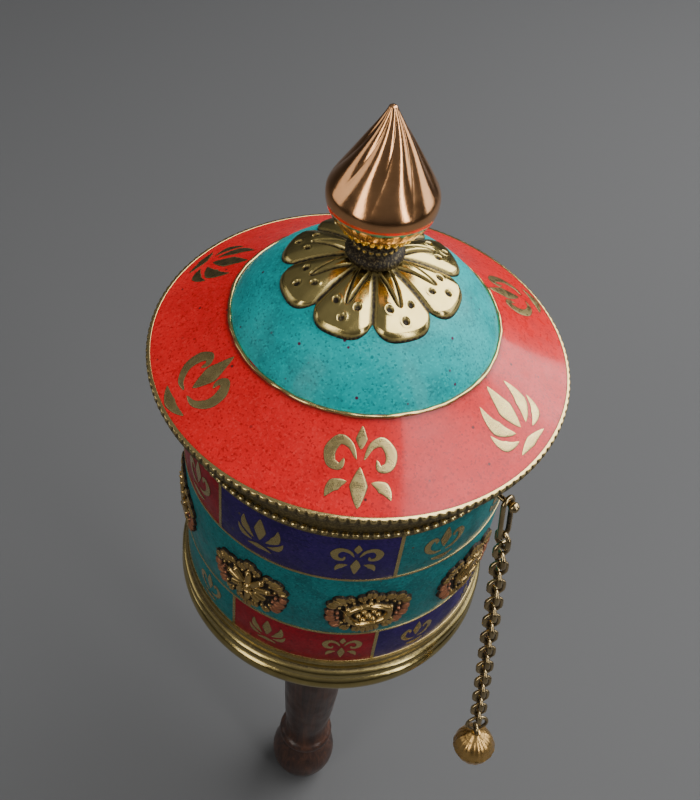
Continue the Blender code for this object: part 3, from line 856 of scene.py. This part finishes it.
class Relief:
    """Bars, rings and bosses raised on a plate, as the greatest height at each of its points."""

    def __init__(self, x, y):
        self.x, self.y = x, y
        self.height = np.zeros_like(x)

    def lift(self, distance, width, height):
        self.height = np.maximum(self.height, round_back(distance, width, height))

    def bar(self, x0, y0, x1, y1, width, height):
        dx, dy = x1 - x0, y1 - y0
        along = ((self.x - x0) * dx + (self.y - y0) * dy) / (dx * dx + dy * dy)
        t = np.clip(along, 0.0, 1.0)
        self.lift(np.hypot(self.x - x0 - t * dx, self.y - y0 - t * dy), width, height)

    def ring(self, x0, y0, size, width, height, squash=1.0):
        self.lift(np.hypot(self.x - x0, (self.y - y0) / squash) - size, width, height)

    def boss(self, x0, y0, size, height):
        self.lift(np.hypot(self.x - x0, self.y - y0), size, height)


def wheel(on):
    on.ring(0, -0.3, 4.8, 0.9, 1.3, 0.80)
    on.boss(0, -0.3, 0.9, 1.6)
    for angle in np.radians(np.arange(0, 360, 60)):
        on.boss(2.25 * math.cos(angle), 1.85 * math.sin(angle) - 0.3, 0.82, 1.3)
        on.boss(5.7 * math.cos(angle + 0.5), 4.9 * math.sin(angle + 0.5) - 0.3, 0.6, 1.0)


def lotus(on):
    on.boss(0, -0.6, 1.3, 1.2)
    on.ring(0, -0.6, 1.9, 0.3, 0.9)
    for angle in np.radians((20, 52, 90, 128, 160, 200, 235, 270, 305, 340)):
        c, s = math.cos(angle), math.sin(angle)
        reach = 5.4 if s > 0 else 4.2
        on.bar(2.4 * c, 2.4 * s - 0.6, reach * c, reach * s - 0.6, 0.95, 1.0)
        on.boss((reach + 0.2) * c, (reach + 0.2) * s - 0.6, 0.4, 1.15)


def knot(on):
    for shift in (-2.2, 0.0, 2.2):
        on.bar(shift - 2.6, -2.6, shift + 2.59, 2.6, 0.5, 0.95)
        on.bar(shift + 2.6, -2.6, shift - 2.6, 2.6, 0.5, 1.1)
    for side in (-1, 1):
        on.ring(side * 5.0, 0, 1.1, 0.45, 0.95)
        on.ring(0, side * 4.0, 1.1, 0.45, 0.95)


def vase(on):
    on.bar(0, -1.9, 0, -0.7, 2.9, 1.3)
    on.bar(0, 1.2, 0, 3.2, 1.0, 1.0)
    on.bar(-1.9, 3.6, 1.9, 3.6, 0.5, 1.15)
    on.bar(-2.0, -5.0, 2.0, -5.0, 0.6, 1.0)
    on.bar(-2.6, 0.3, 2.6, 0.3, 0.35, 1.3)
    on.boss(0, 5.4, 1.0, 1.2)
    for side in (-1, 1):
        on.bar(side * 2.9, -3.8, side * 4.6, 1.6, 0.55, 0.85)
        on.ring(side * 3.9, 3.2, 1.2, 0.4, 0.9)


def fish(on):
    """Two fish side by side, heads up and tails crossing outwards."""
    for side in (-1, 1):
        for t in np.linspace(0.0, 1.0, 9):
            width = 0.5 + 1.35 * math.sin(math.pi * min(1.0, t * 1.15 + 0.1)) ** 0.8
            across = side * (2.4 - 2.0 * math.sin(math.pi * t))
            on.boss(across, 5.0 - 9.0 * t, width, 0.75 + 0.4 * width / 1.8)
        on.bar(side * 2.2, -4.2, side * 4.0, -5.6, 0.55, 0.8)
        on.bar(side * 2.2, -4.2, side * 1.0, -6.0, 0.5, 0.8)
        on.boss(side * 2.3, 4.0, 0.35, 1.5)


def canopy(on):
    on.ring(0, 0.2, 4.6, 0.55, 0.95, 0.8)
    on.boss(0, 5.2, 0.9, 1.2)
    on.bar(0, 0, 0, -5.6, 0.5, 0.9)
    for i in range(-3, 4):
        on.bar(0, 4.0, i * 1.45, 0.4, 0.55, 1.05)
        on.boss(i * 1.45, -0.4, 0.62, 1.0)
        on.bar(i * 1.45, -1.0, i * 1.5, -2.4, 0.28, 0.75)


def shell(on):
    on.boss(0, -4.2, 1.1, 1.3)
    on.bar(-1.8, -4.6, 1.8, -4.6, 0.5, 1.0)
    for angle in np.radians(np.arange(30, 151, 20)):
        c, s = math.cos(angle), math.sin(angle)
        on.bar(1.4 * c, 1.4 * s - 4.0, 6.6 * c, 7.6 * s - 4.0, 0.78, 1.15)
        on.boss(6.9 * c, 7.9 * s - 4.0, 0.55, 1.3)


def banner(on):
    on.boss(0, 5.6, 0.9, 1.2)
    for level in range(4):
        wide, height = 3.5 - 0.35 * level, 2.1 * level - 3.6
        on.bar(-wide, height, wide, height, 0.85, 1.15)
        for side in (-1, 1):
            on.boss(side * (wide + 0.7), height - 0.7, 0.5, 0.95)
    for side in (-1, 1):
        on.bar(side * 1.6, 3.8, side * 4.6, 5.0, 0.4, 0.85)


DEVICES = (shell, lotus, wheel, canopy, vase, knot, fish, banner)  # in the order of the emblem nodes


def plate_leaves(number):
    """Leaves round a plate as (x, y, radius), each a little out of place: a trefoil above and below, and a
    cluster down each side.
    """
    wild = np.random.default_rng(40 + number)
    spots = [(0.0, 8.0, 1.6), (-2.0, 6.6, 1.35), (2.0, 6.6, 1.35)]
    spots += [(0.0, -7.4, 1.4), (-2.1, -6.7, 1.3), (2.1, -6.7, 1.3)]
    cluster = (
        (7.0, 5.2, 1.8), (8.6, 3.3, 1.4), (4.8, 6.3, 1.3), (8.9, 0.5, 1.3), (8.4, -2.2, 1.6),
        (7.2, -4.6, 1.7), (4.9, -6.0, 1.4))
    spots += [(side * x, y, size) for side in (-1, 1) for x, y, size in cluster]
    shake = wild.uniform
    return [(x + shake(-0.25, 0.25), y + shake(-0.25, 0.25), size * shake(0.9, 1.12)) for x, y, size in spots]


def build_emblem(number, device):
    """A cast plate with leafy edges and a raised device, curved to the drum's wall."""
    node = "emblem_%d" % number
    low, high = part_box(node)
    centre = (low + high) / 2 / MM
    turn, middle = math.atan2(centre.y, centre.x), centre.z - RIM_Z
    columns, rows = 288, 66
    angles = around(columns)
    c, s = np.cos(angles), np.sin(angles)
    leaves = plate_leaves(number)
    reach = 1.0 / np.sqrt((c / 7.4) ** 2 + (s / 6.3) ** 2)
    for x0, y0, size in leaves:
        along = x0 * c + y0 * s
        room = size ** 2 - (x0 * s - y0 * c) ** 2
        edge = along + np.sqrt(np.maximum(room, 0.0))
        reach = np.maximum(reach, np.where((room > 0) & (along > 0), edge, 0.0))
    reach = np.minimum(reach, 1.0 / np.maximum(np.abs(c) / 10.4, np.abs(s) / 9.4))
    share = np.linspace(0.02, 1.0, rows)[:, None] ** 0.8
    x, y = reach * share * c, reach * share * s
    relief = Relief(x, y)
    device(relief)
    foliage = np.zeros_like(x)
    for x0, y0, size in leaves:
        outward = math.atan2(y0, x0)
        across = (y - y0) * math.cos(outward) - (x - x0) * math.sin(outward)
        blade = round_back(np.hypot(x - x0, y - y0), size * 1.02, 0.95) * (1 - 0.45 * near(across, 0.0, 0.22))
        berry = round_back(np.hypot(x - x0 * 0.80, y - y0 * 0.80), 0.5, 0.9)
        foliage = np.maximum(foliage, np.maximum(blade, berry))
    height = 0.22 + np.maximum(relief.height * 1.05, foliage * 0.9)
    height = np.minimum(height * (0.3 + 0.7 * np.sqrt(smoothstep(1.0, 0.965, share))), 1.9)
    def on_face(lift):
        return polar(WALL_R + lift, turn + x / WALL_R, middle + y)

    points = np.concatenate((on_face(height), on_face(0.0)[::-6]))
    faces = grid_faces(len(points), columns, False, True).tolist()
    faces.append(list(range(columns)))
    faces.append([(len(points) - 1) * columns + i for i in reversed(range(columns))])
    # Darker on the low ground between the raised parts, along the plate's outer edge and on its sides.
    dirt = np.clip(smoothstep(1.0, 0.48, height) + 0.9 * smoothstep(0.97, 1.0, share), 0, 1)
    dirt = np.concatenate((dirt, np.ones((len(points) - rows, columns))))
    item = solid("emblem_relief_%d" % number, points, faces, [RELIEF, RELIEF_COPPER], dirt=dirt, sharp=75.0)
    for face in item.data.polygons:
        spot = face.center / MM
        side = (math.atan2(spot.y, spot.x) - turn + math.pi) % (2 * math.pi) - math.pi
        if abs(side) * WALL_R > 6.2 and spot.z - RIM_Z - middle < 2.6:
            face.material_index = 1
    show(item, "drum", "emblem_brass", node)


# ---------- turned pieces

# CAD node, body, slot, finish, reach of the rounding and columns
PLAIN_TURNED = (
    ("drum_wall", "drum", "drum_copper", COPPER_DULL, 0.2, FINE),
    ("bottom_plate", "drum", "drum_brass", OLD, 0.2, FINE),
    ("bottom_bush", "drum", "drum_brass", OLD, 0.3, SMALL),
    ("lid_skirt", "lid", "lid_brass", OLD, 0.2, FINE),
    ("handle_grip", "handle", "dark_wood", WOOD, 6.0, SMALL),
    ("handle_ferrule", "handle", "ferrule_brass", OLD, 0.4, SMALL),
    ("bearing_washer", "handle", "washer_shell", SHELL, 0.5, SMALL),
    ("spindle", "handle", "spindle_steel", STEEL, 0.3, 48),
    ("scroll_core", "drum", "core_bamboo", BAMBOO, 0.3, SMALL),
)


def build_turned_pieces():
    """Fine, softened versions of the plain turned CAD pieces."""
    for node, body, slot, finish, reach, columns in PLAIN_TURNED:
        outline, closed = outline_of(node)
        outline = rounded(outline, reach, 6, closed)
        item = turned(node + "_fine", outline, finish, closed, columns)
        show(item, body, slot, node)


# ---------- chain

def chain_points():
    """Hinge point and hinge direction of each hanging piece, from the joints, in the order of the chain."""
    found = []
    for joint in frame["joints"]:
        if joint["name"].endswith("_swing"):
            found.append((joint["child"], Vector(joint["pos_m"]) / MM, Vector(joint["axis"])))
    return found


def wire_loop(name, top, down, plane, length, width, wire, thick):
    """A closed oval loop of round wire, thicker at the sides, with painted shade on its inner side. top is
    the middle of its upper wire.
    """
    radius = (width - thick) / 2
    straight = max((length - wire) / 2 - radius, 0.0)
    turn = around(36)
    x = radius * np.cos(turn)
    z = radius * np.sin(turn) + np.sign(np.round(np.sin(turn), 6)) * straight
    centre = np.array(top) + np.array(down) * (length - wire) / 2
    up, side = -np.array(down), np.cross(plane, down)
    line = centre + np.outer(x, plane) + np.outer(z, up)
    ahead = np.roll(line, -1, 0) - np.roll(line, 1, 0)
    ahead /= np.linalg.norm(ahead, axis=1)[:, None]
    inward = np.cross(ahead, side)
    section = around(12)
    size = (wire + (thick - wire) * smoothstep(0.75, 1.0, np.abs(np.cos(turn)))) / 2
    points = line[:, None, :] + size[:, None, None] * (
        np.cos(section)[None, :, None] * inward[:, None, :] + np.sin(section)[None, :, None] * np.array(side))
    points[:, :, 2] -= RIM_Z
    # Painted shade: the side of the wire that faces the loop's middle is darkened.
    dirt = 0.8 * smoothstep(-0.2, 0.6, np.cos(section))
    return loop_solid(name, points, CHAIN, dirt=np.broadcast_to(dirt, points.shape[:2]))


def turned_about(name, outline, origin, direction, finish, columns, radius_of=None):
    """A solid piece turned round a line through origin. Outline heights run along direction."""
    outline = np.asarray(outline, float)
    angles = around(columns)
    radii = np.repeat(outline[:, :1], columns, 1)
    if radius_of:
        radii = radius_of(radii, outline[:, 1:], angles)
    local = turned_points(radii, outline[:, 1], angles)
    turn = np.array(Vector((0.0, 0.0, 1.0)).rotation_difference(Vector(direction)).to_matrix())
    points = local @ turn.T + np.array(origin)
    points[:, :, 2] -= RIM_Z
    return solid(name, points, grid_faces(len(outline), columns, False, True), finish, sharp=60.0)


# Wire loops as CAD node, length, width, wire, wire at the sides, and how far the top wire's middle is above
# the hinge
LOOPS = {
    "hanger": ("hanger_link", 13.2, 4.3, 1.1, 1.15, 1.3),
    "ring": ("end_ring", 6.4, 6.4, 0.9, 0.95, 1.15),
    "weight": ("weight_eye", 4.0, 4.0, 0.9, 0.9, 1.1),
}
CHAIN_LOOP = (5.5, 4.6, 1.0, 1.3, 1.2)
TWIST_STEP, TWIST_LIMIT = 9.0, 36.0  # turn about the chain's line, in degrees for each loop and at most


def build_chain():
    """The post, the loops of the chain and the weight, each on its own hinge."""
    places = chain_points()
    down = (places[1][1] - places[0][1]).normalized()
    for number, (body, hinge, axis) in enumerate(places):
        twist = math.radians(min(TWIST_STEP * number, TWIST_LIMIT))
        plane = Matrix.Rotation(twist, 3, down) @ axis.cross(-down).normalized()
        node, *sizes, rise = LOOPS.get(body, ("chain_" + body, *CHAIN_LOOP))
        loop = wire_loop(node + "_wire", hinge - down * rise, down, plane, *sizes)
        show(loop, body, "chain_brass", node)
    build_post(places[0][1])
    build_weight(places[-1][1], down)


def build_post(hinge):
    """The rod and ball on the drum's collar that carry the chain."""
    out = Vector((hinge.x, hinge.y, 0.0)).normalized()
    foot = WALL_R + 0.6
    outline = rounded([
        (0.0, 47.2), (0.8, 47.0), (1.35, 46.0), (0.8, 45.1), (0.6, 44.8), (0.6, 41.4), (1.0, 41.2),
        (1.6, 40.9), (1.6, foot), (0.0, foot)], 0.35, 4, False)
    post = turned_about("chain_post_turned", outline, (0.0, 0.0, hinge.z), out, CHAIN, 40)
    show(post, "drum", "chain_brass", "chain_post")


def build_weight(hinge, down):
    """A chased ball with a leafy cap under its eye."""
    top, size = 1.9, 5.8
    middle, foot = top + 0.65 + size, top + 2 * size
    outline = [(0.0, top), (1.0, top), (1.5, top + 0.3), (1.7, top + 0.75), (2.3, top + 0.9)]
    outline += [(size * math.cos(a), middle - size * math.sin(a)) for a in np.radians(np.arange(64, -65, -4))]
    outline += [(1.7, foot + 0.75), (1.1, foot + 1.1), (0.0, foot + 1.2)]

    def radius_of(r, z, angle):
        cap = smoothstep(top + 6.4, top + 1.2, z + 1.6 * np.abs(np.sin(4 * angle)))
        rib = np.abs(np.sin(8 * angle + math.pi / 4)) ** 0.6
        belt = near(z, middle, 0.35)
        return r - smoothstep(2.0, 3.2, r) * (0.34 * (1 - cap) + 0.16 * (1 - rib) - 0.3 * belt * (1 - cap))

    ball = turned_about("weight_ball_chased", outline, hinge, down, WEIGHT, 128, radius_of=radius_of)
    show(ball, "weight", "chain_brass", "weight_ball")


# ---------- scroll

def build_scroll():
    """The paper rolled round its core: one long sheet wound in a spiral."""
    turns, inner, outer, thick = 22, 5.5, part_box("prayer_scroll")[1].x / MM - 0.3, 0.25
    count = turns * 72
    t = np.linspace(0.0, 1.0, count)
    angle = t * turns * 2 * math.pi
    r = inner + (outer - inner) * t + 0.05 * np.sin(angle * 3.1) * t
    foot, top = span("prayer_scroll")
    foot += 0.1
    top = top - 0.7 + 0.25 * np.sin(angle * 0.37) + 0.15 * np.sin(angle * 0.11)
    section = ((r + thick, top), (r + thick, foot), (r, foot), (r, top))
    points = np.stack([polar(radius, angle, z) for radius, z in section])
    scroll = solid("scroll_wound", points, tube_faces(len(section), count), PAPER, sharp=40.0)
    show(scroll, "drum", "scroll_paper", "prayer_scroll")


# ---------- stage

def build_floor():
    """A plain grey floor at the foot of the handle, 60 m across."""
    bpy.ops.mesh.primitive_plane_add(size=60.0, location=(0.0, 0.0, 0.0))
    floor = bpy.context.object
    floor.name = "floor"
    finish = Finish("floor_grey", (0.130, 0.133, 0.138), 0.75, Specular_IOR_Level=0.2)
    floor.data.materials.append(finish.material)
    floor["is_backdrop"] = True


def facing(spot, side, back):
    """The placing matrix of a light or camera at a spot, from the directions of its right side and back."""
    return Matrix.Translation(spot) @ Matrix((side, back.cross(side), back)).transposed().to_4x4()


def add_light(name, direction, distance, size, power, colour, long_way=(0.0, 0.0, 1.0)):
    """A soft light in a direction from the drum, sized in metres, its second side lying along long_way."""
    data = bpy.data.lights.new(name, 'AREA')
    data.shape = 'RECTANGLE'
    data.size, data.size_y = size
    data.energy = power
    data.color = colour
    back = Vector(direction).normalized()
    side = Vector(long_way).cross(back).normalized()
    placed(name, data).matrix_world = facing(Vector((0.0, 0.0, 0.2)) + back * distance, side, back)


def build_light():
    """A soft grey room, a long softbox overhead to the right, and four smaller ones lower down."""
    world = bpy.data.worlds.new("room")
    world.use_nodes = True
    bpy.context.scene.world = world
    tree = world.node_tree
    place, split, ramp = (
        tree.nodes.new('ShaderNode' + kind) for kind in ('TexCoord', 'SeparateXYZ', 'ValToRGB'))
    tree.links.new(place.outputs["Generated"], split.inputs[0])
    tree.links.new(split.outputs["Z"], ramp.inputs["Fac"])
    tree.links.new(ramp.outputs["Color"], tree.nodes["Background"].inputs["Color"])
    ramp.color_ramp.elements[0].color = (0.032, 0.0325, 0.034, 1.0)
    ramp.color_ramp.elements[1].color = (0.20, 0.202, 0.206, 1.0)
    add_light(
        "window", (0.524, 0.335, 0.783), 0.82, (0.62, 1.35), 12.5, (1.0, 0.985, 0.96), (0.335, 0.882, -0.331))
    add_light("doorway", (0.76, -0.60, 0.48), 1.0, (0.17, 0.75), 2.2, (1.0, 0.98, 0.95))
    add_light("front_fill", (-0.60, -0.75, 0.42), 1.1, (0.32, 0.80), 2.6, (1.0, 0.95, 0.86))
    add_light("right_wall", (0.93, 0.30, 0.24), 1.1, (0.62, 0.62), 1.9, (0.99, 0.99, 1.0))
    add_light("left_wall", (-0.97, 0.05, 0.22), 1.1, (0.50, 0.55), 0.7, (1.0, 0.97, 0.93))


def build_camera():
    """The photograph's view: from above the front, rolled a little to the left."""
    elevation, roll = math.radians(48.30), math.radians(8.07)
    distance, across, below = 4.728, 0.052, 0.251  # in brim radii
    back = Vector((0.0, -math.cos(elevation), math.sin(elevation)))
    right = Vector((1.0, 0.0, 0.0))
    up = back.cross(right)
    side = right * math.cos(roll) + up * math.sin(roll)
    top = back.cross(side)
    rim = Vector((0.0, 0.0, RIM_Z * MM))
    spot = rim + (back * distance - side * across - top * below) * BRIM_R * MM
    data = bpy.data.cameras.new("camera")
    data.lens = 45.0
    data.sensor_width = 36.0
    data.clip_start = 0.01
    camera = placed("camera", data)
    camera.matrix_world = facing(spot, side, back)
    bpy.context.scene.camera = camera


build_bulb()
build_cup()
build_collar()
build_rosette()
build_dome()
build_foot_wire()
build_brim()
build_edge_ring()
build_brim_ornaments()
build_top_collar()
build_beads()
build_panel_band("upper", band_edges(-130.5, 62.0), ("blue", "teal", "red"))
build_middle_band()
build_panel_band("lower", band_edges(-123.5, 53.5), ("red", "blue", "teal"))
build_band_wires()
for emblem_number, emblem_device in enumerate(DEVICES, 1):
    build_emblem(emblem_number, emblem_device)
build_moulding()
build_turned_pieces()
build_chain()
build_scroll()
build_floor()
build_light()
build_camera()

boxes = {"cad": cad_box, "shown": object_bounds()}
{key: [[float(x) for x in corner] for corner in box] for key, box in boxes.items()}
